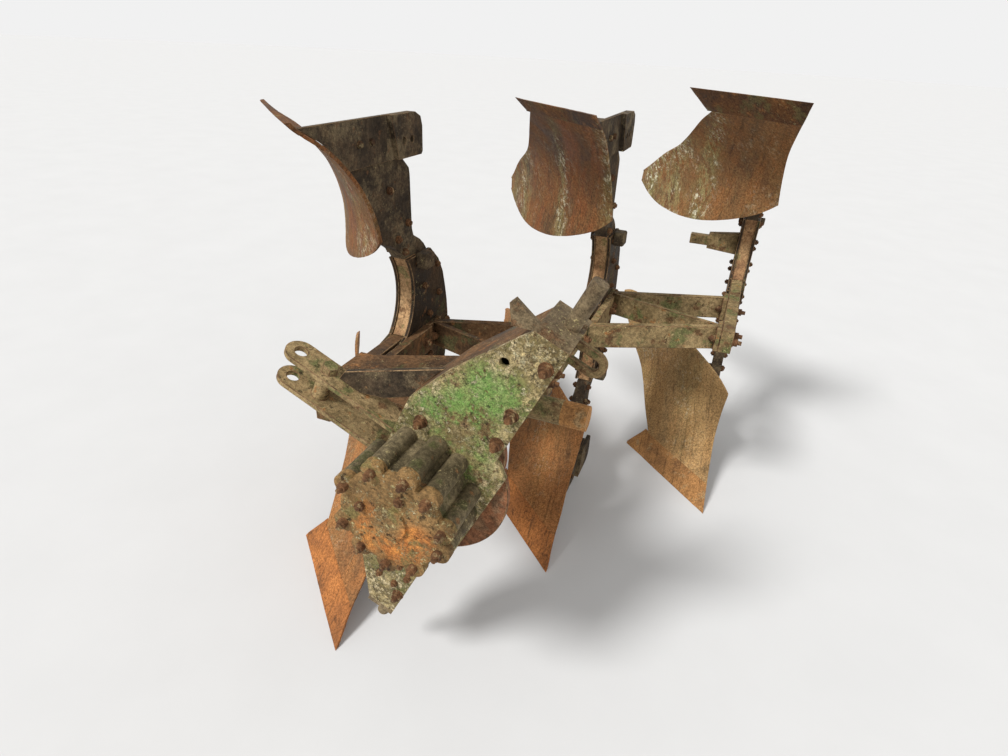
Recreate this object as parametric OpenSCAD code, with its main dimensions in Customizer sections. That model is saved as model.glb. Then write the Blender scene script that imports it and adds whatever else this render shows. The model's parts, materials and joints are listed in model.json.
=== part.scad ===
// Three-furrow reversible plough: a right-hand set of bottoms below, a left-hand set above,
// and a headstock that turns about the long axis. It stands on its lower shares.
// X runs to the plough's left, Y rearward and Z up; the origin is under the middle of the plough.

/* [Layout] */
// Furrow width, from one landside to the next
furrow = 406; // [360:1:480]
// Distance rearward from one share point to the next
stagger = 464; // [420:1:560]
// Height of the turnover axis above the ground, half the whole height
axis_h = 634; // [600:1:720]
// Distance of the turnover axis to the left of the front landside
axis_x = 262; // [240:1:290]
// Roll of the headstock as the plough is parked
park_roll = 65; // [40:1:90]

/* [Bottoms] */
// Angle between the cutting edge and the way of travel
share_angle = 46.7; // [42:0.1:50]
// Extra angle of the moldboard at the height of its wing
wing_twist = 5.5; // [0:0.1:8]
// Rearward bow of the moldboard at the height of its wing, 600 mm from the shin
wing_bow = 180; // [120:1:220]
// Length of the share along its cutting edge
share_len = 444; // [400:1:480]
// Length of the seam between share and moldboard
seam_len = 345; // [300:1:360]
// Height of that seam above the cutting edge
seam_h = 60; // [50:1:70]
// Thickness of share and moldboard, measured rearward
skin_t = 15; // [12:0.5:18]
// Length worn off the point of the middle upper share
tip_wear = 35; // [0:1:50]
// Distance from the share point across to the face of the landside and of the standard
land_in = 34; // [24:1:40]
// Height of the landside's lower edge above the share point
land_low = 54; // [46:1:60]
// Height of the landside bar
land_h = 94; // [80:1:104]
// Thickness of the landside bar
land_t = 10; // [8:1:14]
// Distance of the landside's heel behind the share point
land_end = 545; // [500:1:580]
// Length of the thick plate on the landside's heel
heel_l = 136; // [110:1:160]
// Thickness of that plate
heel_t = 12; // [8:1:16]
// Thickness of the frog, which fills the space between the standard's plates
frog_w = 36; // [30:1:42]
// Distance along the moldboard of the brace's foot
brace_u = 450; // [400:1:480]
// Height of the brace's foot on the moldboard
brace_z = 266; // [255:1:280]
// Radius of the brace
brace_r = 12; // [8:1:14]

/* [Standards] */
// Thickness of each side plate
plate_t = 10; // [8:1:14]
// Distance of a throat's centre behind the share point
throat_y = 350; // [344:1:356]
// Height of a throat's centre over or under the axis
throat_z = 149; // [146:1:154]
// Radius of a throat
throat_r = 159.5; // [156:0.5:162]
// Height of a standard's end over or under the axis
end_z = 241; // [236:1:246]
// How far the filler strips lie behind the edges of the plates
filler_in = 5; // [2:1:8]
// Width of the filler strips along a throat
strip_w = 42; // [36:1:46]
// How far the tongue reaches back between the plates
tongue_end = 540; // [530:1:550]

/* [Cross bars] */
// Height of the cross bars and of the tongues that carry them
bar_h = 70; // [60:1:80]
// Thickness of a cross bar, measured rearward
bar_t = 24; // [18:1:30]
// Length of the foot at each end of a cross bar
foot_l = 70; // [60:1:80]
// Thickness of that foot
foot_t = 14; // [10:1:18]
// Thickness of the link along a standard's left side
link_t = 22; // [18:1:30]
// Thickness of the slanting stay between two cross bars
stay_t = 16; // [12:1:22]
// How far the stub bar stands out to the right of the rear standard
stub_reach = 162; // [140:1:180]

/* [Hub] */
// Radius of the turnover shaft
shaft_r = 40; // [35:1:45]
// Outer radius of the hub's barrel
hub_r = 85; // [75:1:95]
// Radius of the hub's flange
flange_r = 118; // [105:1:130]
// Radius of the round stop bar
stop_r = 25; // [20:1:28]
// How far the stop bar reaches to the left of the turnover axis
stop_reach = 262; // [220:1:280]

/* [Headstock] */
// Distance from the turnover axis to the shoulder of a lower hitch pin
shoulder = 412.5; // [380:0.5:440]
// Radius of the lower hitch pins
pin_r = 14.2; // [11:0.1:18]
// Length of a lower hitch pin beyond its shoulder
pin_len = 88; // [75:1:110]
// Distance of the pins' line below the turnover axis
pin_drop = 70; // [60:1:78]
// Depth of the box behind the front plate
box_d = 88; // [70:1:100]
// Thickness of the headstock's plates
hs_t = 12; // [10:1:16]
// Height of the top link hole above the turnover axis
mast_h = 342; // [320:1:380]
// Radius of the top link hole
top_r = 12.9; // [10:0.1:16]
// Gap between the two bars of the mast
mast_gap = 56; // [50:1:70]
// Radius of the half-round plate under the headstock
half_r = 166; // [150:1:180]

/* [Actuator] */
// Radius of the circle that the cover's bolts stand on
lobe_circle = 100; // [92:1:108]
// Radius of one lobe
lobe_r = 19; // [15:1:23]
// Length of the actuator's barrel
barrel_len = 104; // [90:1:124]
// Thickness of its cover
cover_t = 18; // [14:1:24]
// Width of a cover nut across its corners
nut_w = 19; // [16:1:22]
// Thickness of a cover nut
nut_t = 12; // [9:1:14]
// How far a stud stands out of the cover
stud_out = 20; // [16:1:24]

/* [Hidden] */

fine = 64;
clear = 0.3;
run_fit = 0.3;

// Rearward position of the surface in the landside's plane, by height: height, back
SHIN = [[0, 0], [24, 32], [53, 74], [85, 142], [123, 200], [158, 240], [191, 267],
        [226, 288], [259, 301], [290, 306], [337, 308], [400, 302], [462, 288]];
// Sideways position of that edge, by height: height, distance to the left
LEAN = [[0, 0], [60, -8], [150, -16], [240, -10], [330, 0], [470, 0]];
// Upper edge of the moldboard: distance along the surface, height
TOP_EDGE = [[0, 301], [60, 341], [120, 368], [210, 401], [300, 426], [400, 441],
            [480, 443], [540, 436], [600, 418], [650, 388]];
// Trailing edge of the moldboard: distance along the surface, height
TAIL_EDGE = [[345, 60], [386, 128], [430, 190], [541, 256], [600, 306], [650, 346]];
// Back of the frog: height, rearward position
FROG_BACK = [[60, 340], [100, 420], [146, 480], [180, 520], [318, 524], [340, 526], [366, 574],
             [392, 596], [442, 622]];
// Front ends of the tongues, behind each body's share point
TONGUE = [132, -11, -11];
// Cross bars: body at the left end, whether that end meets the tongue, rearward position there,
// rearward position on the next body's tongue
BARS = [[0, true, 309, 24], [0, false, 600, 275], [1, true, 309, 24], [1, false, 600, 275]];
// Rear edge of a standard's plates: rearward position, height over or under the axis
STD_REAR = [[704, 20], [698, 64], [688, 107], [674, 155], [648, 200]];
// Blunt nose of those plates: rearward position, height over or under the axis
STD_NOSE = [[402, 14], [408, 24], [440, 31], [476, 40]];
// Angles at which the cover's studs stand
STUDS = [6, 42, 84, 135, 167, 199, 231, 274, 301, 338];

mold_len = TOP_EDGE[len(TOP_EDGE) - 1][0];
mold_steps = 16;
mold_rows = 9;
share_steps = 6;
share_rows = 6;
frog_rows = 20;
neck_rows = 3;
land_rows = 8;

std_left = -land_in;
frog_x = std_left - plate_t;
std_right = frog_x - frog_w - plate_t;
// Height on a bottom at which the plates of the standard begin
std_low = axis_h - end_z;

// Reach of the moldboard, which sets the footprint
tail_h = TOP_EDGE[len(TOP_EDGE) - 1][1];
tail_right = -skin(mold_len, tail_h).x;
tail_back = skin_t + max([for (z = [low_edge(mold_len) + clear, tail_h]) skin(mold_len, z).y]);
mid_x = (2 * furrow - tail_right) / 2;
front_y = -barrel_len - cover_t - stud_out;
mid_y = (front_y + 2 * stagger + tail_back) / 2;

function mix(a, b, t) = a + (b - a) * t;
function bend(z) = share_angle + wing_twist * z / 350;
function span(t, x, i = 0) = (i >= len(t) - 2 || x < t[i + 1][0]) ? i : span(t, x, i + 1);
function knot(t, i) = t[max(0, min(len(t) - 1, i))];
function slope(t, i) = (knot(t, i + 1)[1] - knot(t, i - 1)[1]) / (knot(t, i + 1)[0] - knot(t, i - 1)[0]);
// Smooth curve through the rows of a table of x and y
function smooth(t, x) =
    let (i = span(t, x), w = t[i + 1][0] - t[i][0], s = (x - t[i][0]) / w)
    t[i][1] * (1 + 2 * s) * (1 - s) * (1 - s) + slope(t, i) * w * s * (1 - s) * (1 - s)
    + t[i + 1][1] * s * s * (3 - 2 * s) + slope(t, i + 1) * w * s * s * (s - 1);
function back(z) = smooth(SHIN, z);
function bow(z) = wing_bow / 360000 * z / 350;
// A point of the working surface: u along the cutting edge's direction, z up
function skin(u, z) =
    [lookup(z, LEAN) - u * sin(bend(z)), back(z) + u * cos(bend(z)) + bow(z) * u * u, z];
// The same surface by its place across the plough
function behind(x, z) =
    skin((lookup(z, LEAN) - x) / sin(bend(z)), z).y + skin_t + 2 * clear;
// Front edge of a standard, by height over or under the axis
function throat(a, more = 0) = throat_y + sqrt(max(0, pow(throat_r + more, 2) - pow(a - throat_z, 2)));
function low_edge(u) = u <= seam_len ? seam_h : lookup(u, TAIL_EDGE);

// A solid between two grids of points of the same size
module between(a, b) {
    n = len(a);
    m = len(a[0]);
    points = [for (g = [b, a]) for (row = g) for (p = row) p];
    function at(g, i, j) = g * n * m + i * m + j;
    faces = concat(
        [for (i = [0 : n - 2]) for (j = [0 : m - 2])
            each [[at(0, i, j), at(0, i + 1, j), at(0, i, j + 1)],
                  [at(0, i + 1, j), at(0, i + 1, j + 1), at(0, i, j + 1)],
                  [at(1, i, j), at(1, i, j + 1), at(1, i + 1, j)],
                  [at(1, i + 1, j), at(1, i, j + 1), at(1, i + 1, j + 1)]]],
        [for (i = [0 : n - 2])
            each [[at(0, i, 0), at(1, i, 0), at(0, i + 1, 0)],
                  [at(1, i, 0), at(1, i + 1, 0), at(0, i + 1, 0)],
                  [at(0, i, m - 1), at(0, i + 1, m - 1), at(1, i, m - 1)],
                  [at(1, i, m - 1), at(0, i + 1, m - 1), at(1, i + 1, m - 1)]]],
        [for (j = [0 : m - 2])
            each [[at(0, 0, j), at(0, 0, j + 1), at(1, 0, j)],
                  [at(1, 0, j), at(0, 0, j + 1), at(1, 0, j + 1)],
                  [at(0, n - 1, j), at(1, n - 1, j), at(0, n - 1, j + 1)],
                  [at(1, n - 1, j), at(1, n - 1, j + 1), at(0, n - 1, j + 1)]]]);
    polyhedron(points, faces);
}

module shell(grid) {
    between(grid, [for (row = grid) [for (p = row) p + [0, skin_t, 0]]]);
}

// A flat piece across the plough, from rearward position y0 to y1
module across(y0, y1) {
    translate([0, y1, 0])
        rotate([90, 0, 0])
            linear_extrude(y1 - y0)
                children();
}

// A flat piece along the plough, from x0 to x1
module along(x0, x1) {
    translate([x0, 0, 0])
        rotate([90, 0, 90])
            linear_extrude(x1 - x0)
                children();
}

module rod(p, q, r) {
    d = q - p;
    translate(p)
        rotate([0, acos(d.z / norm(d)), atan2(d.y, d.x)])
            cylinder(r = r, h = norm(d), $fn = fine);
}

// Puts a piece on the ground frame of the whole plough
module stand() {
    translate([-mid_x, -mid_y, 0])
        children();
}

// Bottom k, counted from the front, of the lower (side 0) or upper (side 1) set
module bottom(k, side) {
    stand()
        translate([k * furrow, k * stagger, side * 2 * axis_h])
            mirror([0, 0, side])
                children();
}

// The plate frame of the headstock: x along the hitch pins, z along the mast
module headstock() {
    stand()
        translate([axis_x, 0, axis_h])
            rotate([0, -park_roll, 0])
                children();
}

module share(k, side) {
    color("chocolate")
        bottom(k, side)
            shell([for (i = [0 : share_rows])
                let (t = i / share_rows, first = (k == 1 && side == 1) ? tip_wear * (1 - t) : 0)
                [for (j = [0 : share_steps])
                    skin(mix(first, mix(share_len, seam_len, t), j / share_steps), seam_h * t)]]);
}

module moldboard(k, side) {
    color("saddlebrown")
        bottom(k, side)
            shell([for (i = [0 : mold_rows])
                [for (j = [0 : mold_steps])
                    let (u = mold_len * j / mold_steps, low = low_edge(u) + clear)
                    skin(u, mix(low, smooth(TOP_EDGE, u), i / mold_rows))]]);
}

module landside(k, side) {
    heights = [for (i = [0 : land_rows]) land_low + land_h * i / land_rows];
    corner = 32;
    color("dimgray")
        bottom(k, side) {
            between(
                [for (z = heights) [[std_left, behind(std_left, z), z], [frog_x, behind(frog_x, z), z]]],
                [for (z = heights) [[std_left, land_end - corner, z], [frog_x, land_end - corner, z]]]);
            along(std_left + clear, std_left + clear + heel_t)
                difference() {
                    polygon([[land_end - heel_l, land_low], [land_end - corner, land_low],
                             [land_end - corner / 4, land_low + corner / 3],
                             [land_end, land_low + corner], [land_end, land_low + land_h - 6],
                             [land_end - 6, land_low + land_h], [land_end - heel_l + 28, land_low + land_h]]);
                    for (y = [50, 84])
                        translate([land_end - y, land_low + land_h * 0.6])
                            circle(r = 8, $fn = fine / 2);
                }
        }
}

// Front of the frog, which follows the moldboard's back and above it the throat
function leg_front(x, z) =
    let (y = throat(axis_h - z))
    y > throat_y ? max(y, behind(x, z)) : behind(x, z);

// The casting that joins share, moldboard, landside and standard
module frog(k, side) {
    x0 = frog_x;
    x1 = frog_x - frog_w;
    top = FROG_BACK[len(FROG_BACK) - 1][0];
    leg = [for (i = [0 : frog_rows]) mix(seam_h + 2, std_low - 2 * clear, i / frog_rows)];
    neck = [for (i = [0 : neck_rows]) mix(std_low, top, i / neck_rows)];
    color("dimgray")
        bottom(k, side)
            between(
                concat(
                    [for (z = leg) [[x0, leg_front(x0, z), z], [x1, leg_front(x1, z), z]]],
                    [for (z = neck) let (y = throat(axis_h - z, filler_in + strip_w + 1)) [[x0, y, z], [x1, y, z]]]),
                [for (z = concat(leg, neck))
                    let (y = lookup(z, FROG_BACK))
                    [[x0, y, z], [x1, max(y, behind(x1, z) + 30), z]]]);
}

// Direction that the back of the moldboard faces
function facing(u, z) =
    let (n = cross(skin(u + 1, z) - skin(u, z), skin(u, z + 1) - skin(u, z)))
    n / norm(n);

// Stay from the frog to the back of the moldboard
module brace(k, side) {
    pad_t = 8;
    root = [frog_x - frog_w - clear, 470, 200];
    n = facing(brace_u, brace_z);
    wing = skin(brace_u, brace_z) + [0, skin_t, 0] + n * 3 * clear;
    color("dimgray")
        bottom(k, side) {
            rod(root, root - [pad_t, 0, 0], 28);
            rod(root - [pad_t, 0, 0], wing + n * (pad_t + brace_r - 4), brace_r);
            rod(wing, wing + n * pad_t, 30);
        }
}

// Outline of a standard's plates: two throats side by side, a blunt nose between them
module plate_outline() {
    front = throat_y + 90;
    rear = concat(STD_REAR, [[lookup(std_low, FROG_BACK) + 6, end_z], [front, end_z]]);
    difference() {
        for (s = [-1, 1])
            polygon(concat([[front, 0], [STD_REAR[0].x, 0]], [for (p = rear) [p.x, s * p.y]]));
        for (s = [-1, 1])
            translate([throat_y, s * throat_z])
                circle(r = throat_r, $fn = fine);
    }
    polygon(concat(STD_NOSE, [for (i = [len(STD_NOSE) - 1 : -1 : 0]) [STD_NOSE[i].x, -STD_NOSE[i].y]]));
}

// Strips held between the side plates along the throats, and a spacer at the back
module filler_outline() {
    half = bar_h / 2 + clear;
    spacer = 48;
    for (s = [-1, 1])
        mirror([0, s < 0 ? 1 : 0])
            intersection() {
                translate([throat_y, throat_z])
                    difference() {
                        circle(r = throat_r + filler_in + strip_w, $fn = fine);
                        circle(r = throat_r + filler_in, $fn = fine);
                    }
                translate([throat_y + throat_r / 2, half])
                    square([throat_r, end_z - half]);
            }
    translate([STD_REAR[0].x - 30 - spacer, -60])
        square([spacer, 120]);
}

// Two side plates, held apart by the frogs and the filler
module standard(k) {
    color("sienna")
        stand()
            translate([k * furrow, k * stagger, axis_h])
                for (x = [frog_x, std_right])
                    along(x, x + plate_t)
                        plate_outline();
}

module filler(k) {
    color("peru")
        stand()
            translate([k * furrow, k * stagger, axis_h])
                along(frog_x - frog_w, frog_x)
                    filler_outline();
}

// Flat beam that runs forward from between the side plates and carries the cross bars
module tongue(k) {
    color("peru")
        stand()
            translate([k * furrow + frog_x - frog_w, k * stagger + TONGUE[k], axis_h - bar_h / 2])
                cube([frog_w, tongue_end - TONGUE[k], bar_h]);
}

function bar_start(b) = [b[0] * furrow + (b[1] ? frog_x : std_left), b[0] * stagger + b[2]];
function bar_end(b) = [(b[0] + 1) * furrow + frog_x - frog_w, (b[0] + 1) * stagger + b[3]];

// Plan of a cross bar with its two feet, grown at its edges for a clearance
module bar_plan(i, grow = 0) {
    p = bar_start(BARS[i]);
    q = bar_end(BARS[i]);
    half = [0, bar_t / 2 + grow];
    polygon([p - half, q - half, q + half, p + half]);
    translate(p - [0, foot_l / 2 + grow])
        square([foot_t + grow, foot_l + 2 * grow]);
    translate(q - [foot_t + grow, foot_l / 2 + grow])
        square([foot_t + grow, foot_l + 2 * grow]);
}

// A flat bar from the left side of one body to the tongue of the next
module cross_bar(i) {
    p = bar_start(BARS[i]);
    q = bar_end(BARS[i]);
    half = [0, stay_t / 2];
    color("darkolivegreen")
        stand()
            translate([0, 0, axis_h - bar_h / 2])
                linear_extrude(bar_h) {
                    bar_plan(i);
                    // Slanting stay from the front bar's right end to the back bar's left end
                    if (BARS[i][1])
                        difference() {
                            r = bar_start(BARS[i + 1]);
                            polygon([r - half, q - half, q + half, r + half]);
                            bar_plan(i + 1, clear);
                        }
                }
}

// Flat bar along the left side of a standard, between the feet of its two cross bars
module side_link(k) {
    y0 = BARS[0][2] + foot_l / 2;
    y1 = BARS[1][2] - foot_l / 2;
    color("darkolivegreen")
        stand()
            translate([k * furrow + std_left, k * stagger + y0, axis_h - bar_h / 2])
                cube([link_t, y1 - y0, bar_h]);
}

// Tapered bracket with a bar in it, on the right side of the rear standard
module stub_bar() {
    socket = 100;
    y = throat_y + throat_r + 22;
    color("darkolivegreen")
        stand()
            translate([2 * furrow + std_right, 2 * stagger, axis_h])
                across(y, y + 28)
                    polygon([[0, 104], [0, 178], [-socket, 166], [-socket, 156], [-stub_reach, 156],
                             [-stub_reach, 122], [-socket, 122], [-socket, 112]]);
}

box_top = 97;
hs_back = 2 * hs_t + box_d;
hub_front = hs_back + 6;
hub_len = 250;

module on_axis() {
    stand()
        translate([axis_x, 0, axis_h])
            children();
}

module hub() {
    color("firebrick")
        on_axis()
            across(hub_front, hub_front + hub_len)
                difference() {
                    circle(r = hub_r, $fn = fine);
                    circle(r = shaft_r, $fn = fine);
                }
    color("firebrick")
        on_axis()
            across(hub_front, hub_front + 18)
                difference() {
                    circle(r = flange_r, $fn = fine);
                    circle(r = shaft_r, $fn = fine);
                }
}

module hub_arms() {
    half = [0, bar_t / 2];
    p = bar_start(BARS[0]) + half;
    q = bar_end(BARS[0]) + half;
    front = hub_front + 24;
    arm_t = 14;
    color("darkolivegreen")
        difference() {
            stand()
                for (z = [bar_h / 2, -bar_h / 2 - arm_t])
                    translate([0, 0, axis_h + z])
                        linear_extrude(arm_t)
                            polygon([[frog_x - frog_w, front + 30], [frog_x - frog_w, p.y], p, q,
                                     [q.x + frog_w, q.y], [q.x + frog_w, q.y - 40], [q.x, front + 110],
                                     [axis_x + hub_r, front], [axis_x - hub_r, front]]);
            on_axis()
                across(hub_front, hub_front + hub_len + clear)
                    circle(r = hub_r + clear, $fn = fine);
        }
}

module turnover_shaft() {
    color("silver")
        on_axis()
            across(hs_t + 6, hub_front + hub_len)
                circle(r = shaft_r, $fn = fine);
}

module stop_bar() {
    y = hub_front + 50;
    z = hub_r + stop_r + 4;
    color("olivedrab")
        on_axis()
            difference() {
                union() {
                    translate([-90, y, z])
                        rotate([0, 90, 0])
                            cylinder(r = stop_r, h = stop_reach + 90, $fn = fine);
                    translate([-60, y - stop_r, 30])
                        cube([120, 2 * stop_r, z - 30]);
                }
                across(hub_front, hub_front + hub_len)
                    circle(r = hub_r + clear, $fn = fine);
            }
}

box_low = pin_drop + 22;
shoulder_top = [150, box_top];
shoulder_low = [242, 60];
// Corners of the headstock: distance along the pins' line, height along the mast
function box_corners(wall = 0) =
    let (e = shoulder - hs_t - wall)
    [[e, wall - box_low], [e, -28 - wall], shoulder_low - [0, wall], shoulder_top - [0, wall],
     [-shoulder_top.x, shoulder_top.y - wall], [-shoulder_low.x, shoulder_low.y - wall],
     [-e, -28 - wall], [-e, wall - box_low]];

module headstock_front() {
    color("green")
        headstock()
            across(0, hs_t)
                difference() {
                    polygon(concat(box_corners(), [[-140, -box_low], [-140, -box_low - 8], [-118, -box_low - 32],
                                                   [118, -box_low - 32], [140, -box_low - 8], [140, -box_low]]));
                    translate([shoulder - 90, -14])
                        circle(r = 9, $fn = fine);
                }
}

// Walls, back and bearing tube, welded into one box behind the front plate
module headstock_box() {
    color("darkolivegreen")
        headstock()
            difference() {
                union() {
                    across(hs_t, hs_t + box_d)
                        difference() {
                            polygon(box_corners());
                            polygon(box_corners(hs_t));
                        }
                    across(hs_t + box_d, hs_back)
                        polygon(box_corners());
                    across(hs_t, hs_back)
                        circle(r = 66, $fn = fine);
                }
                across(hs_t - 1, hs_back + 1)
                    circle(r = shaft_r + run_fit, $fn = fine);
            }
}

module half_round_plate() {
    color("indianred")
        headstock()
            across(hs_t, 2 * hs_t)
                intersection() {
                    circle(r = half_r, $fn = 2 * fine);
                    translate([-half_r, -half_r])
                        square([2 * half_r, half_r - box_low]);
                }
}

// End plate with its hitch pin, and the ear above the left one
module hitch_pin(s) {
    color("tan")
        headstock()
            mirror([s < 0 ? 1 : 0, 0, 0]) {
                translate([shoulder - hs_t, 0, -pin_drop - 22])
                    cube([hs_t, hs_back, 64]);
                translate([shoulder - 1, hs_back / 2, -pin_drop])
                    rotate([0, 90, 0])
                        cylinder(r = pin_r, h = pin_len + 1, $fn = fine);
                if (s > 0)
                    across(0, hs_t)
                        polygon([[shoulder - hs_t, -29], [shoulder, -29], [shoulder + 14, 22],
                                 [shoulder + 4, 26], [shoulder - hs_t - 15, 6]]);
            }
}

mast_y = hs_t + 12;
mast_w = 62;
bolt_h = 275;

// Two flat bars joined by a spacer and its bolt
module mast() {
    color("darkolivegreen")
        headstock() {
            for (s = [-1, 1])
                mirror([s < 0 ? 1 : 0, 0, 0])
                    translate([0, mast_y, 0])
                        along(mast_gap / 2, mast_gap / 2 + hs_t)
                            difference() {
                                union() {
                                    translate([0, box_top])
                                        square([mast_w, mast_h - box_top]);
                                    translate([mast_w / 2, mast_h])
                                        circle(r = mast_w / 2, $fn = fine);
                                }
                                translate([mast_w / 2, mast_h])
                                    circle(r = top_r, $fn = fine);
                            }
            translate([0, mast_y + mast_w / 2, bolt_h])
                rotate([0, 90, 0]) {
                    translate([0, 0, -mast_gap / 2 - 1])
                        cylinder(r = 17, h = mast_gap + 2, $fn = fine);
                    translate([0, 0, -mast_gap / 2 - hs_t - 14])
                        cylinder(r = 17, h = 15, $fn = 6);
                    translate([0, 0, mast_gap / 2 + hs_t - 1])
                        cylinder(r = 17, h = 15, $fn = 6);
                }
        }
}

module mast_gusset() {
    x = mast_gap / 2 + hs_t;
    top_gusset = box_top + 153;
    color("dimgray")
        headstock()
            across(hs_t + 40, hs_t + 52)
                polygon([[x, top_gusset], [x + 23, top_gusset - 5], mix(shoulder_top, shoulder_low, 0.6),
                         shoulder_top,
                         [115, box_top], [64, 153], [x, 200]]);
}

module lobe_ring(r, extra) {
    circle(r = lobe_circle - 6 + extra, $fn = fine);
    for (a = STUDS)
        rotate(a)
            translate([lobe_circle, 0])
                circle(r = r, $fn = fine / 2);
}

module actuator_barrel() {
    color("darkslategray")
        headstock()
            across(-barrel_len, 0)
                union()
                    lobe_ring(lobe_r, 0);
}

module actuator_cover() {
    face = -barrel_len - cover_t;
    color("peru")
        headstock()
            union() {
                across(face, -barrel_len)
                    union()
                        lobe_ring(lobe_r + 2, 4);
                across(face - 6, face + 1)
                    circle(r = 34, $fn = fine);
                for (a = STUDS)
                    rotate([0, -a, 0])
                        translate([lobe_circle, 0, 0]) {
                            across(face - nut_t, face + 1)
                                circle(r = nut_w / 2, $fn = 6);
                            across(face - stud_out, face + 1)
                                circle(r = nut_w / 4, $fn = fine / 4);
                        }
            }
}

// Flat hook bent round a slot, at the back of the upper arm
module latch_loop() {
    x = 345;
    low = -134;
    color("burlywood")
        headstock()
            across(hs_back, hs_back + 12)
                difference() {
                    union() {
                        translate([x, low])
                            circle(r = 25, $fn = fine);
                        translate([x - 25, low])
                            square([50, 70]);
                    }
                    translate([x, low])
                        circle(r = 10, $fn = fine);
                    translate([x - 10, low])
                        square([20, 40]);
                }
}

share(0, 0);  // share_front_lower
share(0, 1);  // share_front_upper
share(1, 0);  // share_middle_lower
share(1, 1);  // share_middle_upper
share(2, 0);  // share_rear_lower
share(2, 1);  // share_rear_upper
moldboard(0, 0);  // moldboard_front_lower
moldboard(0, 1);  // moldboard_front_upper
moldboard(1, 0);  // moldboard_middle_lower
moldboard(1, 1);  // moldboard_middle_upper
moldboard(2, 0);  // moldboard_rear_lower
moldboard(2, 1);  // moldboard_rear_upper
landside(0, 0);  // landside_front_lower
landside(0, 1);  // landside_front_upper
landside(1, 0);  // landside_middle_lower
landside(1, 1);  // landside_middle_upper
landside(2, 0);  // landside_rear_lower
landside(2, 1);  // landside_rear_upper
frog(0, 0);  // frog_front_lower
frog(0, 1);  // frog_front_upper
frog(1, 0);  // frog_middle_lower
frog(1, 1);  // frog_middle_upper
frog(2, 0);  // frog_rear_lower
frog(2, 1);  // frog_rear_upper
brace(0, 0);  // brace_front_lower
brace(0, 1);  // brace_front_upper
brace(1, 0);  // brace_middle_lower
brace(1, 1);  // brace_middle_upper
brace(2, 0);  // brace_rear_lower
brace(2, 1);  // brace_rear_upper
standard(0);  // standard_front
standard(1);  // standard_middle
standard(2);  // standard_rear
filler(0);  // filler_front
filler(1);  // filler_middle
filler(2);  // filler_rear
tongue(0);  // tongue_front
tongue(1);  // tongue_middle
tongue(2);  // tongue_rear
stub_bar();
cross_bar(0);  // cross_bar_front
cross_bar(1);  // cross_bar_front_rear
cross_bar(2);  // cross_bar_back
cross_bar(3);  // cross_bar_back_rear
side_link(0);  // side_link_front
side_link(1);  // side_link_middle
hub();
hub_arms();
turnover_shaft();
stop_bar();
headstock_front();
headstock_box();
half_round_plate();
hitch_pin(1);  // hitch_pin_left
hitch_pin(-1);  // hitch_pin_right
mast();
mast_gusset();
actuator_barrel();
actuator_cover();
latch_loop();
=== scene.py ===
import json
import math
import random

import bmesh
import bpy
from mathutils import Matrix, Vector, noise


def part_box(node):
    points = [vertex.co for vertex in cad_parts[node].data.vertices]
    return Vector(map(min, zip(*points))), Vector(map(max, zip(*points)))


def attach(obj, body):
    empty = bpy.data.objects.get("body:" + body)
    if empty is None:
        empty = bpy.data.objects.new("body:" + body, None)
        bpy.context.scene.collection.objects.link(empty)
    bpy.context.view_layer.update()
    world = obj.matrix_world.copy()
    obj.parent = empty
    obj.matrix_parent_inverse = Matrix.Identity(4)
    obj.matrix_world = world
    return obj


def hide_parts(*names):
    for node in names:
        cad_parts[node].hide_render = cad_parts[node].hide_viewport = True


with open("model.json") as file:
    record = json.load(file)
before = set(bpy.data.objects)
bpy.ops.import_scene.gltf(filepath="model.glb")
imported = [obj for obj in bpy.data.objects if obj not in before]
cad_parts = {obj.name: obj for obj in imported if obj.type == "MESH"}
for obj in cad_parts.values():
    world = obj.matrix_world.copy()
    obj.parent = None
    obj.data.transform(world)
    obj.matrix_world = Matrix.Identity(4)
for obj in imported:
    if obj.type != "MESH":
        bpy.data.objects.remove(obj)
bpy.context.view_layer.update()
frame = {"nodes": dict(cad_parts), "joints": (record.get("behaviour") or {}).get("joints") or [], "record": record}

print("frame loaded,", len(frame["nodes"]), "nodes")

# Places that everything is measured from: the turnover axis, the share points and the headstock's front
axisPoint = Vector(frame["joints"][0]["pos_m"])
ranks = ["front", "middle", "rear"]
sides = ["lower", "upper"]
shareSide = [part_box("share_%s_lower" % rank)[1].x for rank in ranks]
shareTip = [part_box("share_%s_lower" % rank)[0].y for rank in ranks]
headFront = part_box("headstock_front")[0].y
headRoll = math.radians(65)  # how far the headstock stands rolled
alongPins = Vector((math.cos(headRoll), 0, math.sin(headRoll)))
alongMast = Vector((-math.sin(headRoll), 0, math.cos(headRoll)))
leftward = Vector((1, 0, 0))
rearward = Vector((0, 1, 0))
upward = Vector((0, 0, 1))
bodyOf = {node: body for body, nodes in frame["record"]["behaviour"]["bodies"].items() for node in nodes}


def onHeadstock(pins, back, mast):  # distances along the hitch pins, rearward and up the mast
    return Vector((axisPoint.x, headFront + back, axisPoint.z)) + alongPins * pins + alongMast * mast


def onStandard(rank, side, back, height):  # left of the share point, behind it, over the axis
    return Vector((shareSide[rank] + side, shareTip[rank] + back, axisPoint.z + height))


# Small helpers for the finishes

def newNode(tree, kind, inputs=None, **settings):  # an input that is a socket is linked, any other is set
    node = tree.nodes.new(kind)
    for key, value in settings.items():
        setattr(node, key, value)
    for key, value in (inputs or {}).items():
        if hasattr(value, "is_linked"):
            tree.links.new(value, node.inputs[key])
        else:
            node.inputs[key].default_value = value
    return node


def stretched(tree, place, scale=(1, 1, 1), offset=(0, 0, 0)):
    return newNode(tree, "ShaderNodeMapping", {"Vector": place, "Scale": scale,
                                               "Location": offset}).outputs[0]


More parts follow.
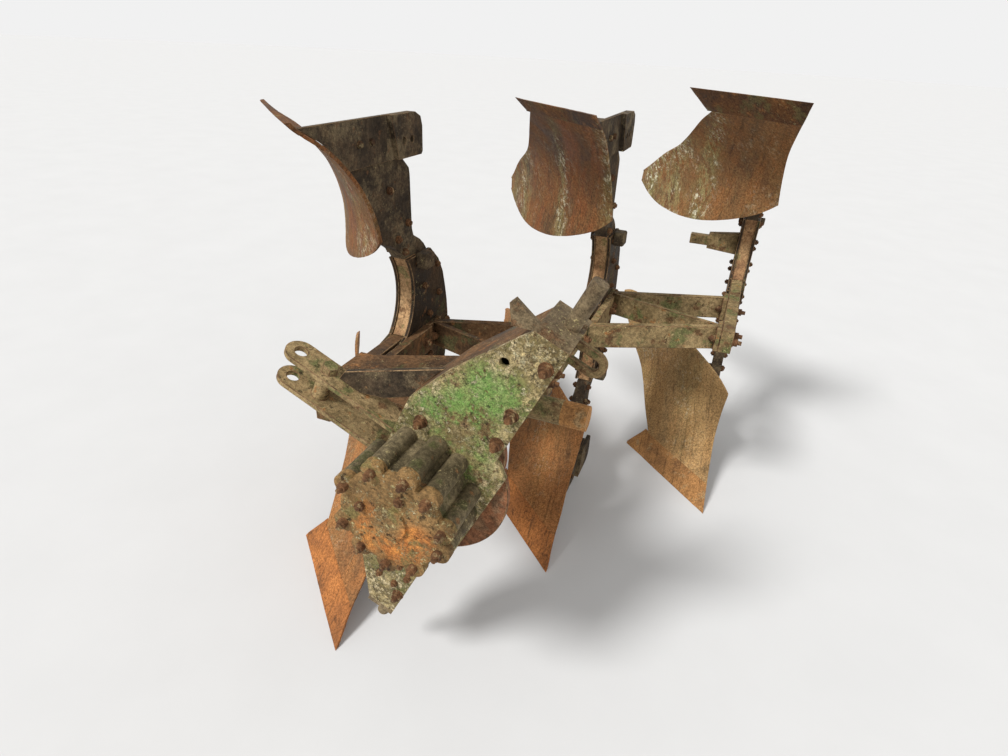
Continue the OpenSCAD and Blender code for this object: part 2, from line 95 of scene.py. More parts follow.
def cloudy(tree, place, scale, detail, rough=0.6):
    return newNode(tree, "ShaderNodeTexNoise", {"Vector": place, "Scale": scale, "Detail": detail,
                                                "Roughness": rough}).outputs["Fac"]


def between(tree, value, low, high, start=0.0, end=1.0):
    return newNode(tree, "ShaderNodeMapRange", {"Value": value, "From Min": low, "From Max": high,
                                                "To Min": start, "To Max": end},
                   interpolation_type="SMOOTHSTEP").outputs[0]


def combined(tree, how, a, b):
    return newNode(tree, "ShaderNodeMath", {0: a, 1: b}, operation=how).outputs[0]


def layered(tree, mask, under, over):  # mixes colours
    return newNode(tree, "ShaderNodeMix", {0: mask, 6: under, 7: over}, data_type="RGBA").outputs[2]


def levels(tree, mask, under, over):  # mixes plain numbers
    return newNode(tree, "ShaderNodeMix", {0: mask, 2: under, 3: over}, data_type="FLOAT").outputs[0]


def shades(tree, value, stops):  # colour ramp from (place, colour) pairs
    ramp = newNode(tree, "ShaderNodeValToRGB", {0: value})
    while len(ramp.color_ramp.elements) < len(stops):
        ramp.color_ramp.elements.new(0.5)
    for element, (spot, colour) in zip(ramp.color_ramp.elements, stops):
        element.position = spot
        element.color = (*colour, 1)
    return ramp.outputs[0]


def painted(tree, name):  # an attribute that the piece carries
    return newNode(tree, "ShaderNodeAttribute", attribute_name=name).outputs["Fac"]


weatherLook = {  # what all finishes share: spans are of the noise, tones darken and lighten the colour
    "mottleDetail": 9.0, "mottleRough": 0.68, "mottleSpan": (0.35, 0.65), "mottleRelief": 0.8,
    "grain": 420, "grainDetail": 3.0, "grainRough": 0.7, "grainSpan": (0.3, 0.7), "grainRelief": 0.35,
    "grainTone": (0.66, 1.24),
    "pitDetail": 5.0, "pitSpan": (0.38, 0.60), "pitTone": (0.72, 1.16),
    "cloudDetail": 8.0, "cloudRough": 0.65,
    "patchDetail": 5.0, "patchShift": (11, 5, 2),
    "layerTone": (0.72, 1.2),  # a layer's own colour, from grain to grain
    "avoided": 0.15,  # what is left of a layer where it avoids a zone
    "bumpStrength": 0.9, "shine": 0.12,
}


def layerMask(tree, place, layer):
    where = place
    if "stretch" in layer or "offset" in layer:
        where = stretched(tree, place, layer.get("stretch", (1, 1, 1)), layer.get("offset", (0, 0, 0)))
    cloud = cloudy(tree, where, layer["cloud"], weatherLook["cloudDetail"],
                   layer.get("rough", weatherLook["cloudRough"]))
    mask = between(tree, cloud, *layer["cover"])
    if "patch" in layer:  # only inside larger clouds
        size, low, high = layer["patch"]
        aside = stretched(tree, place, offset=weatherLook["patchShift"])
        area = between(tree, cloudy(tree, aside, size, weatherLook["patchDetail"]), low, high)
        mask = combined(tree, "MULTIPLY", mask, area)
    if "zone" in layer:
        mask = combined(tree, "MULTIPLY", mask, painted(tree, layer["zone"]))
    if "avoid" in layer:
        left = levels(tree, painted(tree, layer["avoid"]), 1.0, weatherLook["avoided"])
        mask = combined(tree, "MULTIPLY", mask, left)
    if "most" in layer:
        mask = combined(tree, "MULTIPLY", mask, layer["most"])
    return mask


def shadedByGrain(tree, grain, tint):
    stops = [(spot, [min(1.0, tone * c) for c in tint])
             for spot, tone in zip(weatherLook["grainSpan"], weatherLook["layerTone"])]
    return shades(tree, grain, stops)


def weathered(name, look):  # a mottled ground, the layers that grew or wore on it, then grain and pits
    finish = bpy.data.materials.new(name)
    finish.use_nodes = True
    tree = finish.node_tree
    shader = tree.nodes["Principled BSDF"]
    coords = tree.nodes.new("ShaderNodeTexCoord").outputs
    place = coords["Object"]
    mottle = cloudy(tree, place, look["mottle"], weatherLook["mottleDetail"], weatherLook["mottleRough"])
    grain = cloudy(tree, place, look.get("grain", weatherLook["grain"]), weatherLook["grainDetail"],
                   weatherLook["grainRough"])
    pits = cloudy(tree, place, look["pits"], weatherLook["pitDetail"])
    colour = shades(tree, mottle, look["base"])
    rough = between(tree, mottle, *weatherLook["mottleSpan"], *look["rough"])
    height = combined(tree, "ADD", combined(tree, "MULTIPLY", grain, weatherLook["grainRelief"]), pits)
    height = combined(tree, "ADD", height, combined(tree, "MULTIPLY", mottle, weatherLook["mottleRelief"]))
    for layer in look["layers"]:
        mask = layerMask(tree, coords["UV"] if layer.get("flow") else place, layer)
        colour = layered(tree, mask, colour, shadedByGrain(tree, grain, layer["colour"]))
        if "gloss" in layer:
            rough = levels(tree, mask, rough, layer["gloss"])
        if "lift" in layer:
            height = combined(tree, "ADD", height, combined(tree, "MULTIPLY", mask, layer["lift"]))
    grainTone = between(tree, grain, *weatherLook["grainSpan"], *weatherLook["grainTone"])
    pitTone = between(tree, pits, *weatherLook["pitSpan"], *weatherLook["pitTone"])
    specks = combined(tree, "MULTIPLY", grainTone, pitTone)
    speckled = newNode(tree, "ShaderNodeMix", {0: 1.0, 6: colour, 7: specks}, data_type="RGBA",
                       blend_type="MULTIPLY").outputs[2]
    bump = newNode(tree, "ShaderNodeBump", {"Height": height, "Strength": weatherLook["bumpStrength"],
                                            "Distance": look["bump"]}).outputs[0]
    tree.links.new(speckled, shader.inputs["Base Color"])
    tree.links.new(rough, shader.inputs["Roughness"])
    tree.links.new(bump, shader.inputs["Normal"])
    shader.inputs["Specular IOR Level"].default_value = weatherLook["shine"]
    return finish


# The weathered steel and paint of a machine that has stood outdoors for years
blackRust = (0.018, 0.012, 0.008)
darkRust = (0.050, 0.026, 0.014)
brownRust = (0.125, 0.062, 0.029)
orangeRust = (0.330, 0.142, 0.046)
dryLichen = (0.450, 0.365, 0.175)
paleLichen = (0.640, 0.570, 0.350)
oliveFilm = (0.155, 0.122, 0.046)
oldGreen = (0.140, 0.262, 0.064)
dustTone = (0.330, 0.235, 0.120)

# In a finish, "mottle" and "cloud" give noise by its waves in a metre. A layer starts and is full at the two
# values of "cover", stays inside the larger clouds of "patch" or the painted "zone", has at "most" that
# strength, stands up by "lift" and, with "flow", is drawn out along the soil's marks
shareSteel = weathered("shareSteel", {  # the upper shares, long out of the soil
    "mottle": 8, "rough": (0.62, 0.86), "bump": 0.0012, "pits": 160,
    "base": [(0.30, darkRust), (0.42, (0.082, 0.037, 0.015)), (0.54, (0.140, 0.062, 0.024)),
             (0.70, (0.215, 0.097, 0.036))],
    "layers": [
        {"cloud": 1.0, "stretch": (60, 9, 1), "flow": True, "cover": (0.50, 0.66),
         "colour": (0.190, 0.100, 0.045), "most": 0.7},
        {"cloud": 24, "cover": (0.56, 0.66), "colour": orangeRust, "lift": 0.25, "most": 0.7},
        {"cloud": 12, "cover": (0.54, 0.62), "colour": oliveFilm, "most": 0.7, "offset": (3, 1, 7)},
        {"cloud": 120, "rough": 0.8, "cover": (0.57, 0.62), "patch": (11, 0.52, 0.62), "colour": dryLichen,
         "lift": 0.5},
        {"cloud": 70, "cover": (0.58, 0.68), "colour": blackRust, "most": 0.7, "offset": (1, 9, 2)},
    ]})
shareBright = weathered("shareBright", {  # the front and middle lower shares, in fresh rust
    "mottle": 9, "rough": (0.60, 0.84), "bump": 0.0011, "pits": 170,
    "base": [(0.28, (0.140, 0.065, 0.026)), (0.42, (0.280, 0.108, 0.036)), (0.56, (0.420, 0.160, 0.048)),
             (0.74, (0.520, 0.205, 0.062))],
    "layers": [
        {"cloud": 1.0, "stretch": (80, 11, 1), "flow": True, "cover": (0.52, 0.66), "colour": brownRust,
         "most": 0.7},
        {"cloud": 26, "cover": (0.57, 0.68), "colour": darkRust, "most": 0.7, "offset": (5, 2, 1)},
        {"cloud": 90, "cover": (0.60, 0.70), "colour": blackRust, "most": 0.6},
    ]})
sharePale = weathered("sharePale", {  # the rear lower share, and the bare end of the stop bar
    "mottle": 9, "rough": (0.62, 0.86), "bump": 0.0011, "pits": 170,
    "base": [(0.28, brownRust), (0.42, (0.290, 0.142, 0.052)), (0.56, (0.410, 0.202, 0.072)),
             (0.74, (0.490, 0.248, 0.090))],
    "layers": [
        {"cloud": 1.0, "stretch": (70, 10, 1), "flow": True, "cover": (0.52, 0.66), "colour": darkRust,
         "most": 0.6},
        {"cloud": 20, "cover": (0.55, 0.66), "colour": dustTone, "most": 0.7, "offset": (5, 2, 1)},
        {"cloud": 80, "cover": (0.60, 0.70), "colour": blackRust, "most": 0.6},
    ]})


def boardSteel(name, base, streak, film, crust):  # a moldboard's finish: its browns and how much grows on it
    return weathered(name, {
        "mottle": 6, "rough": (0.60, 0.86), "bump": 0.0013, "pits": 150, "base": base,
        "layers": [
            {"cloud": 1.0, "stretch": (16, 2.6, 1), "flow": True, "cover": (0.46, 0.60), "colour": streak,
             "most": 0.75},
            {"cloud": 1.0, "stretch": (48, 7, 1), "flow": True, "rough": 0.75, "cover": (0.52, 0.66),
             "colour": darkRust, "most": 0.6},
            {"cloud": 1.0, "stretch": (130, 20, 1), "flow": True, "rough": 0.75, "cover": (0.55, 0.68),
             "colour": blackRust, "most": 0.4},
            {"cloud": 1.0, "stretch": (110, 16, 1), "flow": True, "rough": 0.75, "cover": (0.57, 0.67),
             "colour": dustTone, "most": 0.5},
            {"cloud": 170, "rough": 0.75, "cover": (0.54, 0.64), "colour": blackRust, "most": 0.6,
             "offset": (3, 8, 5)},
            {"cloud": 7, "cover": (0.44, 0.60), "colour": oliveFilm, "most": film, "zone": "lichen",
             "offset": (1, 4, 2)},
            {"cloud": 50, "rough": 0.78, "stretch": (1, 1, 0.5), "cover": (0.48, 0.57),
             "colour": (0.330, 0.275, 0.115), "most": 0.85 * crust, "lift": 0.3, "zone": "lichen"},
            {"cloud": 130, "rough": 0.8, "cover": (0.54, 0.60), "patch": (17, 0.44, 0.56),
             "colour": dryLichen, "most": crust, "lift": 0.5, "zone": "lichen", "offset": (7, 1, 2)},
            {"cloud": 60, "rough": 0.8, "cover": (0.52, 0.57), "patch": (9, 0.50, 0.56),
             "colour": (0.780, 0.720, 0.510), "most": crust, "lift": 0.6, "zone": "lichen",
             "offset": (9, 1, 3)},
        ]})


boardOlive = boardSteel("boardOlive", [  # rear upper
    (0.28, darkRust), (0.42, (0.165, 0.080, 0.033)), (0.55, (0.255, 0.122, 0.048)),
    (0.72, (0.330, 0.158, 0.060)),
], streak=(0.260, 0.108, 0.036), film=0.9, crust=1.0)
boardBrown = boardSteel("boardBrown", [  # front and middle upper
    (0.28, (0.030, 0.016, 0.009)), (0.42, (0.110, 0.048, 0.019)), (0.55, (0.180, 0.076, 0.029)),
    (0.72, (0.260, 0.108, 0.040)),
], streak=(0.240, 0.082, 0.028), film=0.8, crust=0.8)
boardDull = boardSteel("boardDull", [  # rear lower
    (0.28, (0.090, 0.054, 0.026)), (0.42, (0.300, 0.180, 0.076)), (0.55, (0.430, 0.258, 0.108)),
    (0.72, (0.510, 0.312, 0.136)),
], streak=(0.360, 0.200, 0.078), film=0.6, crust=0.5)
boardOrange = boardSteel("boardOrange", [  # front and middle lower
    (0.28, (0.090, 0.044, 0.020)), (0.42, (0.210, 0.100, 0.040)), (0.55, (0.330, 0.138, 0.048)),
    (0.72, (0.420, 0.180, 0.062)),
], streak=(0.380, 0.165, 0.055), film=0.5, crust=0.4)
darkSteel = weathered("darkSteel", {  # frogs, landsides, braces and the mast's gusset
    "mottle": 12, "rough": (0.60, 0.88), "bump": 0.0014, "pits": 120,
    "base": [(0.30, (0.014, 0.010, 0.007)), (0.46, (0.040, 0.029, 0.019)), (0.60, (0.085, 0.058, 0.035)),
             (0.76, (0.165, 0.098, 0.050))],
    "layers": [
        {"cloud": 9, "rough": 0.75, "cover": (0.47, 0.61), "colour": (0.190, 0.142, 0.080), "most": 0.75,
         "lift": 0.3},
        {"cloud": 34, "cover": (0.60, 0.68), "colour": brownRust, "most": 0.8, "offset": (2, 8, 1)},
        {"cloud": 110, "rough": 0.8, "cover": (0.58, 0.63), "patch": (12, 0.52, 0.62), "colour": dryLichen,
         "lift": 0.4, "most": 0.7},
    ]})
standardPaint = weathered("standardPaint", {  # the standards' old dark paint
    "mottle": 9, "rough": (0.55, 0.85), "bump": 0.0012, "pits": 110,
    "base": [(0.30, (0.012, 0.009, 0.006)), (0.45, (0.030, 0.020, 0.012)), (0.58, (0.068, 0.042, 0.023)),
             (0.75, (0.140, 0.080, 0.040))],
    "layers": [
        {"cloud": 14, "cover": (0.55, 0.62), "colour": (0.070, 0.066, 0.028), "most": 0.8,
         "offset": (4, 4, 1)},
        {"cloud": 28, "cover": (0.58, 0.66), "colour": (0.200, 0.095, 0.040), "most": 0.8, "lift": 0.3},
        {"cloud": 120, "rough": 0.8, "cover": (0.56, 0.61), "patch": (9, 0.52, 0.62), "colour": dryLichen,
         "lift": 0.4},
    ]})
stripSteel = weathered("stripSteel", {  # the strips between the plates of a standard
    "mottle": 10, "rough": (0.60, 0.85), "bump": 0.0010, "pits": 150,
    "base": [(0.28, (0.130, 0.066, 0.032)), (0.44, (0.310, 0.170, 0.080)), (0.58, (0.450, 0.275, 0.135)),
             (0.74, (0.450, 0.300, 0.160))],
    "layers": [
        {"cloud": 26, "cover": (0.54, 0.64), "colour": brownRust, "most": 0.85},
        {"cloud": 15, "cover": (0.56, 0.62), "colour": (0.200, 0.170, 0.070), "most": 0.8,
         "offset": (6, 1, 2)},
        {"cloud": 80, "cover": (0.58, 0.66), "colour": darkRust, "most": 0.7, "offset": (3, 3, 3)},
    ]})
edgeRust = weathered("edgeRust", {  # rounded edges, where the paint goes first
    "mottle": 16, "rough": (0.60, 0.85), "bump": 0.0008, "pits": 160,
    "base": [(0.28, darkRust), (0.44, (0.170, 0.098, 0.048)), (0.58, (0.260, 0.170, 0.088)),
             (0.74, (0.330, 0.200, 0.100))],
    "layers": [
        {"cloud": 30, "cover": (0.52, 0.62), "colour": darkRust, "most": 0.8},
        {"cloud": 60, "rough": 0.8, "cover": (0.58, 0.64), "colour": dryLichen, "most": 0.7,
         "offset": (3, 3, 3)},
    ]})
framePaint = weathered("framePaint", {  # bars, mast and stops under dust and lichen
    "mottle": 8, "rough": (0.55, 0.84), "bump": 0.0014, "pits": 110,
    "base": [(0.28, (0.085, 0.058, 0.028)), (0.42, (0.185, 0.128, 0.058)), (0.55, (0.290, 0.205, 0.098)),
             (0.72, (0.400, 0.285, 0.145))],
    "layers": [
        {"cloud": 11, "cover": (0.52, 0.60), "colour": (0.115, 0.125, 0.045), "most": 0.85,
         "offset": (4, 4, 1)},
        {"cloud": 22, "cover": (0.55, 0.63), "colour": brownRust, "most": 0.85, "lift": 0.3},
        {"cloud": 38, "cover": (0.60, 0.66), "colour": orangeRust, "most": 0.8, "offset": (7, 2, 5)},
        {"cloud": 120, "rough": 0.8, "cover": (0.54, 0.60), "patch": (12, 0.46, 0.60), "colour": dryLichen,
         "lift": 0.5},
        {"cloud": 75, "cover": (0.58, 0.66), "colour": blackRust, "most": 0.7, "offset": (1, 1, 8)},
    ]})
frameDark = weathered("frameDark", {  # the darker bars near the headstock, with the hub's arms and the headstock's box: a darker copy of the frame paint, painted shade
    "mottle": 9, "rough": (0.55, 0.84), "bump": 0.0012, "pits": 110,
    "base": [(0.28, blackRust), (0.42, (0.075, 0.042, 0.021)), (0.55, (0.150, 0.080, 0.037)),
             (0.72, (0.235, 0.120, 0.055))],
    "layers": [
        {"cloud": 13, "cover": (0.54, 0.61), "colour": (0.085, 0.082, 0.034), "most": 0.8,
         "offset": (4, 4, 1)},
        {"cloud": 30, "cover": (0.58, 0.66), "colour": orangeRust, "most": 0.6, "offset": (7, 2, 5)},
        {"cloud": 120, "rough": 0.8, "cover": (0.56, 0.61), "patch": (10, 0.50, 0.60), "colour": dryLichen,
         "lift": 0.5},
    ]})
headstockPaint = weathered("headstockPaint", {  # the front plate, with green paint left in patches
    "mottle": 8, "rough": (0.50, 0.84), "bump": 0.0016, "pits": 120,
    "base": [(0.28, (0.090, 0.060, 0.028)), (0.42, (0.165, 0.122, 0.052)), (0.56, (0.250, 0.190, 0.084)),
             (0.74, (0.330, 0.250, 0.115))],
    "layers": [
        {"cloud": 10, "rough": 0.7, "cover": (0.46, 0.58), "colour": (0.150, 0.150, 0.050), "most": 0.8,
         "offset": (9, 2, 2)},
        {"cloud": 6, "rough": 0.68, "cover": (0.39, 0.49), "colour": oldGreen, "most": 0.97, "gloss": 0.46,
         "lift": 0.4, "zone": "green"},
        {"cloud": 16, "rough": 0.75, "cover": (0.55, 0.62), "colour": brownRust, "most": 0.9,
         "offset": (1, 9, 6)},
        {"cloud": 28, "rough": 0.82, "cover": (0.485, 0.53), "patch": (8, 0.36, 0.46),
         "colour": (0.430, 0.335, 0.165), "lift": 0.5, "avoid": "green"},
        {"cloud": 55, "rough": 0.84, "cover": (0.505, 0.54), "patch": (13, 0.38, 0.50),
         "colour": (0.600, 0.490, 0.285), "lift": 0.8, "offset": (3, 8, 1), "avoid": "green"},
        {"cloud": 60, "rough": 0.8, "cover": (0.56, 0.61), "colour": (0.140, 0.080, 0.038), "most": 0.85,
         "offset": (2, 3, 4)},
        {"cloud": 95, "rough": 0.8, "cover": (0.56, 0.60), "patch": (20, 0.42, 0.54), "colour": paleLichen,
         "lift": 0.8, "offset": (5, 1, 1)},
        {"cloud": 85, "cover": (0.58, 0.66), "colour": blackRust, "most": 0.75, "offset": (1, 1, 8)},
    ]})
redPaint = weathered("redPaint", {  # the hub and the half-round plate
    "mottle": 10, "rough": (0.52, 0.84), "bump": 0.0012, "pits": 120,
    "base": [(0.28, (0.050, 0.026, 0.015)), (0.44, (0.135, 0.058, 0.028)), (0.58, (0.235, 0.100, 0.047)),
             (0.74, (0.320, 0.140, 0.062))],
    "layers": [
        {"cloud": 22, "cover": (0.55, 0.64), "colour": brownRust, "most": 0.8, "lift": 0.3},
        {"cloud": 15, "cover": (0.56, 0.64), "colour": (0.150, 0.110, 0.065), "most": 0.5,
         "offset": (6, 1, 2)},
    ]})
castingRust = weathered("castingRust", {  # the actuator's cover
    "mottle": 11, "rough": (0.58, 0.84), "bump": 0.0018, "pits": 150,
    "base": [(0.28, (0.060, 0.038, 0.018)), (0.42, (0.165, 0.098, 0.040)), (0.55, (0.270, 0.160, 0.064)),
             (0.72, (0.360, 0.205, 0.080))],
    "layers": [
        {"cloud": 11, "rough": 0.75, "cover": (0.58, 0.68), "colour": (0.330, 0.145, 0.048), "most": 0.8,
         "offset": (2, 2, 9)},
        {"cloud": 20, "rough": 0.75, "cover": (0.38, 0.52), "colour": (0.420, 0.150, 0.040), "most": 0.95,
         "zone": "orange"},
        {"cloud": 30, "cover": (0.50, 0.62), "colour": (0.560, 0.225, 0.056), "zone": "orange",
         "offset": (7, 2, 3)},
        {"cloud": 14, "cover": (0.55, 0.63), "colour": (0.180, 0.150, 0.055), "most": 0.8,
         "offset": (1, 5, 3)},
        {"cloud": 90, "rough": 0.8, "cover": (0.53, 0.58), "patch": (14, 0.46, 0.56), "colour": dryLichen,
         "lift": 0.6},
        {"cloud": 130, "rough": 0.8, "cover": (0.56, 0.60), "patch": (17, 0.48, 0.56),
         "colour": paleLichen, "lift": 0.6, "offset": (5, 1, 1)},
        {"cloud": 60, "cover": (0.57, 0.65), "colour": blackRust, "most": 0.8, "offset": (8, 5, 3)},
    ]})
boltBrown = weathered("boltBrown", {  # nuts and bolts
    "mottle": 34, "rough": (0.55, 0.85), "bump": 0.0007, "pits": 260, "grain": 700,
    "base": [(0.28, darkRust), (0.44, (0.095, 0.046, 0.022)), (0.58, (0.170, 0.082, 0.037)),
             (0.76, (0.260, 0.130, 0.056))],
    "layers": [
        {"cloud": 70, "cover": (0.55, 0.64), "colour": (0.330, 0.240, 0.120), "most": 0.7},
    ]})
barrelCasting = weathered("barrelCasting", {  # the actuator's barrel
    "mottle": 9, "rough": (0.50, 0.80), "bump": 0.0014, "pits": 120,
    "base": [(0.28, (0.020, 0.016, 0.009)), (0.44, (0.085, 0.066, 0.036)), (0.58, (0.180, 0.140, 0.078)),
             (0.74, (0.280, 0.215, 0.115))],
    "layers": [
        {"cloud": 16, "cover": (0.54, 0.62), "colour": (0.082, 0.080, 0.032), "most": 0.8,
         "offset": (4, 4, 1)},
        {"cloud": 120, "rough": 0.8, "cover": (0.56, 0.61), "patch": (11, 0.50, 0.60), "colour": dryLichen,
         "lift": 0.4},
        {"cloud": 34, "cover": (0.60, 0.68), "colour": (0.220, 0.100, 0.040), "most": 0.7},
    ]})
boltRust = weathered("boltRust", {  # the bolts of the landsides
    "mottle": 34, "rough": (0.55, 0.85), "bump": 0.0007, "pits": 260, "grain": 700,
    "base": [(0.28, blackRust), (0.44, darkRust), (0.58, (0.130, 0.070, 0.034)),
             (0.76, (0.250, 0.130, 0.060))],
    "layers": [
        {"cloud": 70, "cover": (0.53, 0.64), "colour": (0.250, 0.195, 0.100), "most": 0.8},
    ]})
brightSteel = weathered("brightSteel", {  # turned pins and the shaft
    "mottle": 14, "rough": (0.48, 0.72), "bump": 0.0010, "pits": 200,
    "base": [(0.28, darkRust), (0.46, (0.135, 0.098, 0.055)), (0.62, (0.220, 0.165, 0.095)),
             (0.76, (0.250, 0.150, 0.075))],
    "layers": [
        {"cloud": 24, "cover": (0.55, 0.64), "colour": brownRust, "most": 0.85, "gloss": 0.8},
        {"cloud": 120, "rough": 0.8, "cover": (0.55, 0.60), "patch": (14, 0.46, 0.58), "colour": dryLichen,
         "lift": 0.5},
    ]})
print("finishes made,", len(bpy.data.materials))


# Small helpers for the pieces

meshLook = {
    "merge": 0.00002, "cut": 0.00001,  # distances under which points are one, and lie on a cutting plane
    "flat": 0.5,  # degrees within which the frame's triangles are one flat face
    "smooth": 32,  # edges sharper than these degrees stay sharp in the shading
    "rounded": 30, "rounds": 2,  # edges sharper than these degrees are rounded, in so many steps
}


def camel(node):
    first, *rest = node.split("_")
    return first + "".join(word.capitalize() for word in rest)


def mergedCopy(node):  # a CAD node's mesh with its loose triangles joined
    shape = bmesh.new()
    shape.from_mesh(frame["nodes"][node].data)
    bmesh.ops.remove_doubles(shape, verts=shape.verts, dist=meshLook["merge"])
    return shape


def cutAcross(shape, point, direction, clear=False):
    bmesh.ops.bisect_plane(shape, geom=shape.verts[:] + shape.edges[:] + shape.faces[:], dist=meshLook["cut"],
                           plane_co=point, plane_no=direction, clear_outer=clear)


def makePiece(name, shape, slot, finishes, body, replaced=(), smooth=meshLook["smooth"]):
    mesh = bpy.data.meshes.new(name)
    shape.to_mesh(mesh)
    shape.free()
    for finish in finishes:
        mesh.materials.append(finish)
    mesh.shade_smooth()
    mesh.set_sharp_from_angle(angle=math.radians(smooth))
    piece = bpy.data.objects.new(name, mesh)
    bpy.context.scene.collection.objects.link(piece)
    if replaced:
        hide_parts(*replaced)
    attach(piece, body)
    return piece


def roundEdges(piece, width, material=-1):
    bevel = piece.modifiers.new("edges", "BEVEL")
    bevel.width = width
    bevel.segments = meshLook["rounds"]
    bevel.limit_method = "ANGLE"
    bevel.angle_limit = math.radians(meshLook["rounded"])
    bevel.harden_normals = True
    bevel.material = material


# Patches of paint and rust: distance along the pins, up the mast, reach and strength of each
paintPatches = {
    "headstock_front": ("green", [
        (0.256, -0.022, 0.060, 1.0), (0.206, 0.006, 0.060, 0.95), (0.157, 0.056, 0.040, 0.9),
        (0.178, -0.014, 0.062, 1.0), (0.124, -0.014, 0.060, 1.0), (0.107, -0.066, 0.044, 0.95),
        (-0.202, 0.017, 0.048, 1.0), (-0.232, -0.022, 0.046, 1.0)]),
    "actuator_cover": ("orange", [
        (-0.054, -0.028, 0.034, 1.0), (-0.030, -0.052, 0.032, 1.0), (0.004, -0.058, 0.032, 0.9),
        (-0.044, 0.036, 0.024, 0.8), (-0.004, 0.044, 0.018, 0.5), (-0.068, 0.006, 0.026, 0.8)]),
}
paintGrid = {"longest": 0.016, "passes": 5}  # how finely a painted piece is divided


def paintPiece(shape, name, patches):
    bmesh.ops.triangulate(shape, faces=shape.faces)
    for count in range(paintGrid["passes"]):
        tooLong = [edge for edge in shape.edges if edge.calc_length() > paintGrid["longest"]]
        if tooLong:
            bmesh.ops.subdivide_edges(shape, edges=tooLong, cuts=1)
            bmesh.ops.triangulate(shape, faces=[face for face in shape.faces if len(face.verts) > 3])
    layer = shape.verts.layers.float.new(name)
    for vert in shape.verts:
        offset = vert.co - axisPoint
        pins, mast = offset.dot(alongPins), offset.dot(alongMast)
        vert[layer] = max(strength * math.exp(-(((pins - p) ** 2 + (mast - m) ** 2) / reach ** 2) ** 2)
                          for p, m, reach, strength in patches)


coverLook = {"face": -0.122, "proud": 0.0005, "boss": 0.070}  # its front face, and where the nuts are
stopBarLook = {"rustyEnd": 0.050}  # length of the end where the paint has gone


def coverNutFaces(shape):  # the nuts and studs stand before the cover's face and outside its boss
    front = headFront + coverLook["face"] - coverLook["proud"]
    for face in shape.faces:
        middle = face.calc_center_median()
        fromAxis = math.hypot(middle.x - axisPoint.x, middle.z - axisPoint.z)
        if middle.y < front and fromAxis > coverLook["boss"]:
            yield face


def stopBarFaces(shape):  # the rusty end, cut off from the rest by a ring of edges
    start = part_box("stop_bar")[1].x - stopBarLook["rustyEnd"]
    cutAcross(shape, (start, 0, 0), leftward)
    for face in shape.faces:
        if face.calc_center_median().x > start:
            yield face


secondFinish = {"actuator_cover": (boltBrown, coverNutFaces), "stop_bar": (sharePale, stopBarFaces)}


def dressNode(node, slot, finish, edge, width):
    shape = mergedCopy(node)
    bmesh.ops.dissolve_limit(shape, angle_limit=math.radians(meshLook["flat"]), verts=shape.verts,
                             edges=shape.edges, use_dissolve_boundaries=False)
    for face in shape.faces:
        face.material_index = 0
    if node in paintPatches:
        paintPiece(shape, *paintPatches[node])
    finishes = [finish] + ([edge] if edge else [])
    if node in secondFinish:
        second, chosenFaces = secondFinish[node]
        finishes.append(second)
        for face in chosenFaces(shape):
            face.material_index = len(finishes) - 1
    piece = makePiece(camel(node), shape, slot, finishes, bodyOf[node], [node])
    roundEdges(piece, width, 1 if edge else -1)


# Plates, bars and castings whose shape the frame already has, by the start of their names:
# slot, finish, finish of the rounded edges and their width
plainNodes = {
    "standard": ("standard_paint", standardPaint, edgeRust, 0.0018),
    "filler": ("standard_paint", stripSteel, None, 0.0012),
    "tongue": ("frame_paint", framePaint, edgeRust, 0.0022),
    # the darker frame finish on the front bars, the hub's arms and the headstock's box is painted shade
    "tongue_front": ("frame_paint", frameDark, edgeRust, 0.0022),
    "stub_bar": ("frame_paint", framePaint, edgeRust, 0.0018),
    "cross_bar": ("frame_paint", framePaint, edgeRust, 0.0022),
    "cross_bar_front": ("frame_paint", frameDark, edgeRust, 0.0022),
    "side_link": ("frame_paint", framePaint, edgeRust, 0.0018),
    "side_link_front": ("frame_paint", frameDark, edgeRust, 0.0018),
    "hub_arms": ("frame_paint", frameDark, edgeRust, 0.0018),
    "hub": ("red_paint", redPaint, edgeRust, 0.0025),
    "turnover_shaft": ("bright_steel", brightSteel, None, 0.0015),
    "stop_bar": ("frame_paint", framePaint, edgeRust, 0.0020),
    "headstock_front": ("headstock_paint", headstockPaint, edgeRust, 0.0016),
    "headstock_box": ("headstock_paint", frameDark, edgeRust, 0.0016),
    "half_round_plate": ("red_paint", redPaint, edgeRust, 0.0016),
    "hitch_pin": ("bright_steel", brightSteel, edgeRust, 0.0016),
    "mast": ("frame_paint", framePaint, edgeRust, 0.0016),
    "mast_gusset": ("dark_steel", darkSteel, edgeRust, 0.0016),
    "actuator_barrel": ("actuator_casting", barrelCasting, None, 0.0020),
    "actuator_cover": ("actuator_casting", castingRust, None, 0.0022),
    "latch_loop": ("frame_paint", framePaint, edgeRust, 0.0020),
    "landside": ("dark_steel", darkSteel, edgeRust, 0.0020),
    "frog": ("dark_steel", darkSteel, None, 0.0020),
    "brace": ("dark_steel", darkSteel, None, 0.0015),
}
for node in sorted(frame["nodes"]):
    fitting = [start for start in plainNodes if node == start or node.startswith(start + "_")]
    if fitting:
        dressNode(node, *plainNodes[max(fitting, key=len)])
print("plates and bars dressed")

